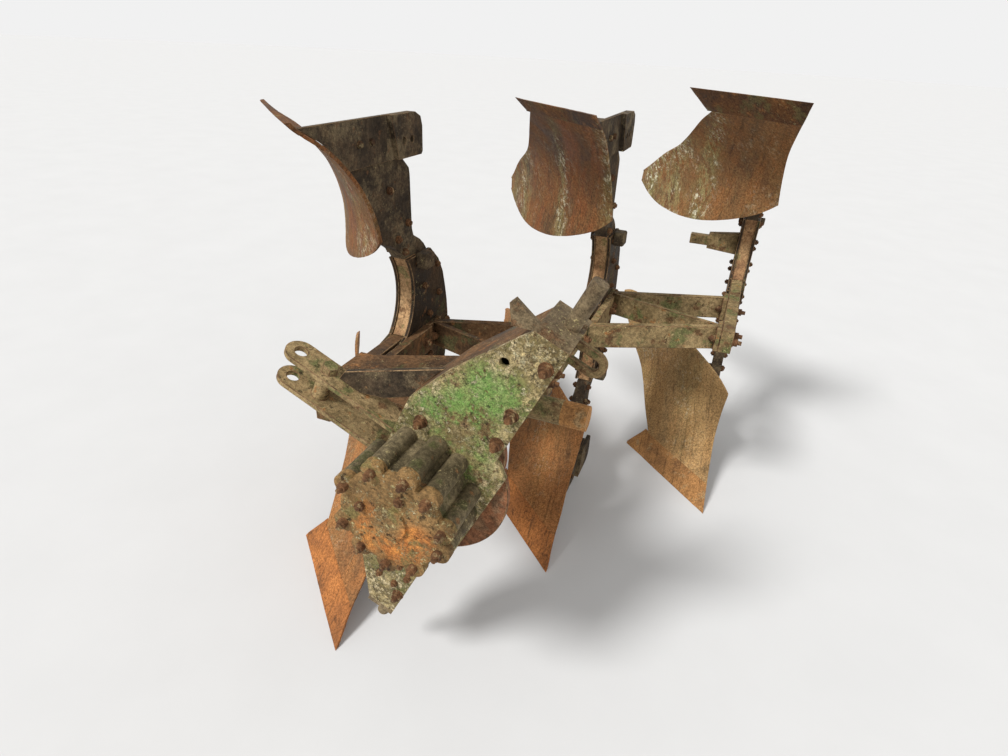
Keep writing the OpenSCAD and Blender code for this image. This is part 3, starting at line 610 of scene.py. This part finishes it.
# Shares and moldboards: the working surfaces
bottomLook = {
    "shareAngle": 46.7, "wingTwist": 5.5 / 0.350,  # the surface's angle at the ground, and its growth upwards
    "joinFlat": 30, "joinSquare": 50,  # degrees within which triangles join to four-sided faces
    "crease": 35, "corner": 28,  # degrees past which the subdivision keeps an edge or a corner
    "finer": 2, "edge": 0.0020, "smooth": 40,
    "dent": 0.0022, "dentScale": 6.0, "ripple": 0.00056, "rippleScale": 60,
    "seamFade": 0.040,  # the dents fade out this close to the seam of share and moldboard
    "tight": 0.0009, "tightBand": 0.004,  # the moldboard's edge sits this much closer on the share
    "flowLean": 0.4,  # how the soil's marks lean along the wing
    "flowShift": (3.7, 1.9),  # sets the pattern of each furrow, and of its upper half, apart
    "worn": {"share_front_upper": 0.038, "share_middle_upper": 0.030},
    "shares": {"front_lower": shareBright, "middle_lower": shareBright, "rear_lower": sharePale},
    "boards": {"rear_upper": boardOlive, "middle_upper": boardBrown, "front_upper": boardBrown,
               "front_lower": boardOrange, "middle_lower": boardOrange},
}
lichenLook = {
    "least": 0.12, "low": 0.35, "rise": 0.30,  # strength between the bands, at the ground, and how it grows
    "bands": {  # distance along the board, width and strength of the bands where lichen grows
        "front_lower": [(0.30, 0.16, 0.5), (0.56, 0.12, 0.7)],
        "front_upper": [(0.12, 0.10, 0.5), (0.50, 0.16, 0.9)],
        "middle_lower": [(0.20, 0.12, 0.4), (0.54, 0.14, 0.6)],
        "middle_upper": [(0.02, 0.03, 0.7), (0.24, 0.030, 0.8), (0.50, 0.060, 0.7), (0.62, 0.070, 0.8)],
        "rear_lower": [(0.18, 0.10, 0.5), (0.50, 0.14, 0.7)],
        "rear_upper": [(0.31, 0.045, 1.0), (0.46, 0.065, 1.0), (0.58, 0.080, 1.0)],
    },
}


def skinPlace(point, rank, upper):  # distance along the board, and height, in an upper body from the top down
    height = 2 * axisPoint.z - point.z if upper else point.z
    angle = math.radians(bottomLook["shareAngle"] + bottomLook["wingTwist"] * height)
    return (shareSide[rank] - point.x) / math.sin(angle), height


def keepSharp(shape):  # edges and corners that the subdivision leaves as they are
    crease = shape.edges.layers.float.new("crease_edge")
    corner = shape.verts.layers.float.new("crease_vert")
    for edge in shape.edges:
        if edge.calc_face_angle(0) > math.radians(bottomLook["crease"]):
            edge[crease] = 1.0
    for vert in shape.verts:
        ends = [edge.other_vert(vert).co for edge in vert.link_edges if edge[crease] > 0]
        bend = (ends[0] - vert.co).angle(vert.co - ends[1]) if len(ends) == 2 else 0
        if len(ends) > 2 or bend > math.radians(bottomLook["corner"]):
            vert[corner] = 1.0


def finerCopy(node):  # the CAD surface in four-sided faces, subdivided
    shape = mergedCopy(node)
    bmesh.ops.join_triangles(shape, faces=shape.faces,
                             angle_face_threshold=math.radians(bottomLook["joinFlat"]),
                             angle_shape_threshold=math.radians(bottomLook["joinSquare"]))
    keepSharp(shape)
    coarse = bpy.data.meshes.new("coarse")
    shape.to_mesh(coarse)
    shape.free()
    carrier = bpy.data.objects.new("coarse", coarse)
    bpy.context.scene.collection.objects.link(carrier)
    subdivision = carrier.modifiers.new("finer", "SUBSURF")
    subdivision.levels = subdivision.render_levels = bottomLook["finer"]
    subdivision.use_limit_surface = False
    finer = bpy.data.meshes.new_from_object(carrier.evaluated_get(bpy.context.evaluated_depsgraph_get()))
    bpy.data.objects.remove(carrier)
    shape = bmesh.new()
    shape.from_mesh(finer)
    bpy.data.meshes.remove(coarse)
    bpy.data.meshes.remove(finer)
    return shape


def wearEdge(shape, top, worn):  # an upper share's cutting edge is at its top
    cutAcross(shape, (0, 0, top - worn), upward, clear=True)
    bmesh.ops.holes_fill(shape, edges=[edge for edge in shape.edges if edge.is_boundary], sides=0)


def growLichen(shape, rank, upper, bands):
    lichen = shape.verts.layers.float.new("lichen")
    for vert in shape.verts:
        along, height = skinPlace(vert.co, rank, upper)
        amount = lichenLook["least"]
        for middle, width, strength in bands:
            amount = max(amount, strength * math.exp(-((along - middle) / width) ** 2))
        vert[lichen] = amount * min(1.0, lichenLook["low"] + height / lichenLook["rise"])


def dentSurface(shape, node, rank, upper):  # never out of the node's own box
    low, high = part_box(node)
    isBoard = node.startswith("moldboard")
    heights = [skinPlace(vert.co, rank, upper)[1] for vert in shape.verts]
    seam = min(heights) if isBoard else max(heights)
    for vert, height in zip(shape.verts, heights):
        push = noise.noise(vert.co * bottomLook["dentScale"]) * bottomLook["dent"]
        push += noise.noise(vert.co * bottomLook["rippleScale"]) * bottomLook["ripple"]
        vert.co += vert.normal * push * min(1.0, abs(height - seam) / bottomLook["seamFade"])
        vert.co = Vector([min(max(c, a), b) for c, a, b in zip(vert.co, low, high)])
        if isBoard and height < seam + bottomLook["tightBand"]:
            vert.co.z += bottomLook["tight"] if upper else -bottomLook["tight"]


def layFlow(shape, rank, upper):  # the UV map that the soil's marks follow
    flow = shape.loops.layers.uv.new("flow")
    rankShift, upperShift = bottomLook["flowShift"]
    for face in shape.faces:
        for loop in face.loops:
            along, height = skinPlace(loop.vert.co, rank, upper)
            lean = bottomLook["flowLean"] * height * height
            loop[flow].uv = (along - lean + rank * rankShift + upper * upperShift, height)


def workingSurface(node, slot, finish, rank, upper, bands):
    shape = finerCopy(node)
    if node in bottomLook["worn"]:
        wearEdge(shape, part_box(node)[1].z, bottomLook["worn"][node])
    growLichen(shape, rank, upper, bands)
    dentSurface(shape, node, rank, upper)
    layFlow(shape, rank, upper)
    piece = makePiece(camel(node), shape, slot, [finish], bodyOf[node], [node], smooth=bottomLook["smooth"])
    roundEdges(piece, bottomLook["edge"])


for rank, rankName in enumerate(ranks):
    for upper, side in enumerate(sides):
        bottom = "%s_%s" % (rankName, side)
        bands = lichenLook["bands"][bottom]
        shareFinish = bottomLook["shares"].get(bottom, shareSteel)
        boardFinish = bottomLook["boards"].get(bottom, boardDull)
        workingSurface("share_" + bottom, "share_steel", shareFinish, rank, upper, bands)
        workingSurface("moldboard_" + bottom, "moldboard_steel", boardFinish, rank, upper, bands)
print("shares and moldboards made")


# Fasteners, merged by what they hold

nutLook = {  # in parts of a bolt's size
    "corner": 0.87, "tall": 0.82, "soft": 0.07,  # of the nut: radius over the corners, height, softened rim
    "washerFoot": 1.08, "washerTop": 1.04, "washerThick": 0.16,
    "studFoot": 0.50, "studTop": 0.44, "stud": 0.35,  # radii of the bolt's end, and how far it stands out
    "sides": {"nut": 6, "washer": 20, "stud": 12},
    "turn": 3,  # each nut is turned by chance, up to this angle in radians
    "rim": 45,  # degrees past which a rim is softened
}
chance = random.Random(4)


def turned(at, along, turn=0.0):
    facing = along.to_track_quat("Z", "Y").to_matrix().to_4x4()
    return Matrix.Translation(at) @ facing @ Matrix.Rotation(turn, 4, "Z")


def addRound(shape, at, along, length, foot, top, segments, turn=0.0):  # a rod or cone that stands on a point
    return bmesh.ops.create_cone(shape, cap_ends=True, segments=segments, radius1=foot, radius2=top,
                                 depth=length, matrix=turned(at + along * length / 2, along, turn))["verts"]


def softenRim(shape, verts, width):
    inside = set(verts)
    rim = [edge for edge in shape.edges if edge.verts[0] in inside and edge.verts[1] in inside
           and edge.is_manifold and edge.calc_face_angle(0) > math.radians(nutLook["rim"])]
    bmesh.ops.bevel(shape, geom=rim, offset=width, segments=1, profile=0.5, affect="EDGES", material=-1)


def addNut(shape, at, along, size, washer=False, stud=nutLook["stud"]):
    if washer:
        thick = nutLook["washerThick"] * size
        addRound(shape, at, along, thick, nutLook["washerFoot"] * size, nutLook["washerTop"] * size,
                 nutLook["sides"]["washer"])
        at = at + along * thick
    tall = nutLook["tall"] * size
    corner = nutLook["corner"] * size
    turn = chance.random() * nutLook["turn"]
    made = addRound(shape, at, along, tall, corner, corner, nutLook["sides"]["nut"], turn)
    softenRim(shape, made, nutLook["soft"] * size)
    if stud:
        foot, top = nutLook["studFoot"] * size, nutLook["studTop"] * size
        addRound(shape, at + along * tall, along, stud * size, foot, top, nutLook["sides"]["stud"])


# Two nuts on the cover's face
coverBolts = {"places": [(-0.007, 0.058), (0.060, 0.002)], "size": 0.011}
shape = bmesh.new()
for pins, mast in coverBolts["places"]:
    addNut(shape, onHeadstock(pins, coverLook["face"], mast), -rearward, coverBolts["size"])
makePiece("coverNuts", shape, "actuator_casting", [boltBrown], "headstock")

# Bolts through the headstock's front plate
plateBolts = {
    "large": [(0.120, 0.058), (0.244, -0.070), (0.177, -0.076), (0.355, -0.075), (-0.335, -0.080)],
    "small": [(-0.306, -0.020), (-0.270, -0.034), (-0.248, -0.050), (-0.268, -0.078), (-0.306, -0.060)],
    "largeSize": 0.0125, "smallSize": 0.0095, "largeStud": 0.7}
shape = bmesh.new()
for pins, mast in plateBolts["large"]:
    addNut(shape, onHeadstock(pins, 0, mast), -rearward, plateBolts["largeSize"], washer=True,
           stud=plateBolts["largeStud"])
for pins, mast in plateBolts["small"]:
    addNut(shape, onHeadstock(pins, 0, mast), -rearward, plateBolts["smallSize"])
makePiece("plateNuts", shape, "headstock_paint", [boltBrown], "headstock")

# Bolts on both faces of the standards: behind the share point and over the axis
standardBolts = {
    "all": [(0.641, 0.105), (0.690, 0.005), (0.670, -0.042), (0.641, -0.105), (0.632, 0.190),
            (0.632, -0.190), (0.585, -0.062), (0.585, 0.062), (0.527, 0.222), (0.527, -0.222),
            (0.560, 0.150), (0.560, -0.150)],
    "leg": [(0.450, 0.300), (0.500, 0.330), (0.480, 0.262), (0.420, 0.420)],
    "faces": ((-0.034, leftward), (-0.090, -leftward)), "size": 0.0105,
    "legFaces": ((-0.044, leftward), (-0.080, -leftward)), "legSize": 0.011}
shape = bmesh.new()
for rank in range(len(ranks)):
    for back, height in standardBolts["all"]:
        for face, out in standardBolts["faces"]:
            addNut(shape, onStandard(rank, face, back, height), out, standardBolts["size"])
    for back, height in standardBolts["leg"]:
        for half in (1, -1):
            for face, out in standardBolts["legFaces"]:
                addNut(shape, onStandard(rank, face, back, half * height), out, standardBolts["legSize"])
makePiece("standardBolts", shape, "standard_paint", [boltBrown], "plough frame")

# The thick pin across each end of a standard, and the lug beside it
shearPins = {
    "back": 0.540, "height": 0.229, "from": -0.104, "to": -0.020,
    "radius": 0.012, "sides": 24, "soft": 0.0015,
    "lug": (0.034, 0.044, 0.040), "lugSide": -0.017, "lugSoft": 0.004, "lugged": ["front", "middle"]}
shape = bmesh.new()
for rank, rankName in enumerate(ranks):
    for half in (1, -1):
        first = onStandard(rank, shearPins["from"], shearPins["back"], half * shearPins["height"])
        made = addRound(shape, first, leftward, shearPins["to"] - shearPins["from"], shearPins["radius"],
                        shearPins["radius"], shearPins["sides"])
        softenRim(shape, made, shearPins["soft"])
        if rankName in shearPins["lugged"]:
            middle = onStandard(rank, shearPins["lugSide"], shearPins["back"], half * shearPins["height"])
            made = bmesh.ops.create_cube(shape, size=1.0, matrix=Matrix.Translation(middle)
                                         @ Matrix.Diagonal((*shearPins["lug"], 1)))["verts"]
            softenRim(shape, made, shearPins["lugSoft"])
makePiece("shearPins", shape, "standard_paint", [darkSteel], "plough frame")

# Bolts of the cross bars at the axis's height: left of the share point, behind it, and the way they face
barBolts = {
    "feet": [(-0.030, 0.284, 1), (-0.030, 0.334, 1), (-0.020, 0.575, 1), (-0.020, 0.625, 1)],
    "links": [(-0.012, 0.385, 1), (-0.012, 0.525, 1)],
    "ends": [(-0.094, 0.000, -1), (-0.094, 0.048, -1), (-0.094, 0.250, -1), (-0.094, 0.300, -1)],
    "heads": [(-0.044, 0.000, 1), (-0.044, 0.048, 1), (-0.044, 0.250, 1)],
    "kinds": {"front": ["feet", "links"], "middle": ["feet", "links", "ends", "heads"],
              "rear": ["ends", "heads"]},
    "stud": {"feet": 0.4, "links": 0.4, "ends": 0.4, "heads": 0.8}, "size": 0.0135}
shape = bmesh.new()
for rank, rankName in enumerate(ranks):
    for kind in barBolts["kinds"][rankName]:
        for side, back, out in barBolts[kind]:
            addNut(shape, onStandard(rank, side, back, 0), leftward * out, barBolts["size"], washer=True,
                   stud=barBolts["stud"][kind])
makePiece("barBolts", shape, "frame_paint", [boltBrown], "plough frame")

# Welds between the cross bars and their feet, as rows of beads up both sides of a bar
welds = {
    "bars": [((-0.044, 0.309), (-0.080, 0.024)), ((-0.034, 0.600), (-0.080, 0.275))],  # left and right ends
    "foot": 0.014, "bar": 0.024, "height": 0.033,  # thickness of foot and bar, half the bar's height
    "bead": 0.0040, "uneven": 0.15, "step": 0.0060}
shape = bmesh.new()
for rank in range(len(ranks) - 1):
    for left, right in welds["bars"]:
        start = onStandard(rank, *left, 0)
        end = onStandard(rank + 1, *right, 0)
        footShare = welds["foot"] / (end.x - start.x)  # of the whole length
        for spot in (start.lerp(end, footShare), end.lerp(start, footShare)):
            for face in (-1, 1):
                height = -welds["height"]
                while height <= welds["height"]:
                    size = welds["bead"] * chance.uniform(1 - welds["uneven"], 1 + welds["uneven"])
                    at = spot + rearward * face * welds["bar"] / 2 + upward * height
                    bmesh.ops.create_icosphere(shape, subdivisions=1, radius=size,
                                               matrix=Matrix.Translation(at))
                    height += welds["step"]
# the welds take the darker frame finish, the copy of the frame paint with painted shade
makePiece("barWelds", shape, "frame_paint", [frameDark], "plough frame")

# Bolt heads on the landsides
landBolts = {"back": [0.300, 0.345], "height": 0.533, "face": -0.034, "size": 0.009}
shape = bmesh.new()
for rank in range(len(ranks)):
    for back in landBolts["back"]:
        for half in (-1, 1):
            at = onStandard(rank, landBolts["face"], back, half * landBolts["height"])
            addNut(shape, at, leftward, landBolts["size"], stud=0)
makePiece("landsideBolts", shape, "dark_steel", [boltRust], "plough frame")
print("fasteners made")

# Camera at the photograph's angle, placed from the front share's point
cameraLook = {"lens": 21.64, "sensor": 36, "near": 0.02, "far": 200, "place": (0.7025, -0.7930, 1.3640),
              "right": (0.929, 0.368, 0.047), "up": (-0.218, 0.438, 0.872)}
camera = bpy.data.objects.new("camera", bpy.data.cameras.new("camera"))
camera.data.lens = cameraLook["lens"]
camera.data.sensor_width = cameraLook["sensor"]
camera.data.clip_start = cameraLook["near"]
camera.data.clip_end = cameraLook["far"]
right = Vector(cameraLook["right"]).normalized()
up = Vector(cameraLook["up"])
up = (up - right * up.dot(right)).normalized()
facing = Matrix((right, up, right.cross(up))).transposed().to_4x4()
eye = Vector(cameraLook["place"]) + Vector((shareSide[0], shareTip[0], 0))
camera.matrix_world = Matrix.Translation(eye) @ facing
bpy.context.scene.collection.objects.link(camera)
bpy.context.scene.camera = camera

# Pale floor and soft light
stageLook = {
    "floor": 60.0, "floorSides": 64, "floorRough": 0.9, "floorShine": 0.1,
    "floorColour": (0.62, 0.617, 0.61), "floorDark": 0.97,  # the colour, and the darker clouds in it
    "floorCloud": 3.0, "floorDetail": 4.0, "floorSpan": (0.3, 0.7),
    "world": 0.62, "backdrop": 0.88,  # strength as light, and as what the camera sees
    "key": (-2.2, -3.4, 4.6), "keyPower": 3.1, "keyAngle": 14,
    "fill": (3.0, -2.4, 1.8), "fillPower": 0.55, "fillAngle": 50}


def addSun(name, place, power, angle):
    lamp = bpy.data.lights.new(name, "SUN")
    lamp.energy = power
    lamp.angle = math.radians(angle)
    holder = bpy.data.objects.new(name, lamp)
    holder.location = place
    holder.rotation_euler = (-Vector(place)).to_track_quat("-Z", "Y").to_euler()
    bpy.context.scene.collection.objects.link(holder)


addSun("keyLight", stageLook["key"], stageLook["keyPower"], stageLook["keyAngle"])
addSun("fillLight", stageLook["fill"], stageLook["fillPower"], stageLook["fillAngle"])

shape = bmesh.new()
bmesh.ops.create_circle(shape, cap_ends=True, segments=stageLook["floorSides"], radius=stageLook["floor"])
floorMesh = bpy.data.meshes.new("floor")
shape.to_mesh(floorMesh)
shape.free()
floor = bpy.data.objects.new("floor", floorMesh)
bpy.context.scene.collection.objects.link(floor)
floorFinish = bpy.data.materials.new("floorFinish")
floorFinish.use_nodes = True
tree = floorFinish.node_tree
shader = tree.nodes["Principled BSDF"]
shader.inputs["Roughness"].default_value = stageLook["floorRough"]
shader.inputs["Specular IOR Level"].default_value = stageLook["floorShine"]
place = tree.nodes.new("ShaderNodeTexCoord").outputs["Object"]
ground = cloudy(tree, place, stageLook["floorCloud"], stageLook["floorDetail"])
darker = [stageLook["floorDark"] * c for c in stageLook["floorColour"]]
floorColour = shades(tree, ground, list(zip(stageLook["floorSpan"], (darker, stageLook["floorColour"]))))
tree.links.new(floorColour, shader.inputs["Base Color"])
floorMesh.materials.append(floorFinish)

world = bpy.data.worlds.new("studio")
bpy.context.scene.world = world
world.use_nodes = True
tree = world.node_tree
ray = tree.nodes.new("ShaderNodeLightPath").outputs
seen = combined(tree, "MAXIMUM", ray["Is Camera Ray"], ray["Is Glossy Ray"])
seen = combined(tree, "MAXIMUM", seen, ray["Is Transmission Ray"])
background = tree.nodes["Background"]
background.inputs["Color"].default_value = (1.0, 1.0, 1.0, 1)
strength = levels(tree, seen, stageLook["world"], stageLook["backdrop"])
tree.links.new(strength, background.inputs["Strength"])
bpy.context.scene.view_settings.view_transform = "Standard"
print("stage set")
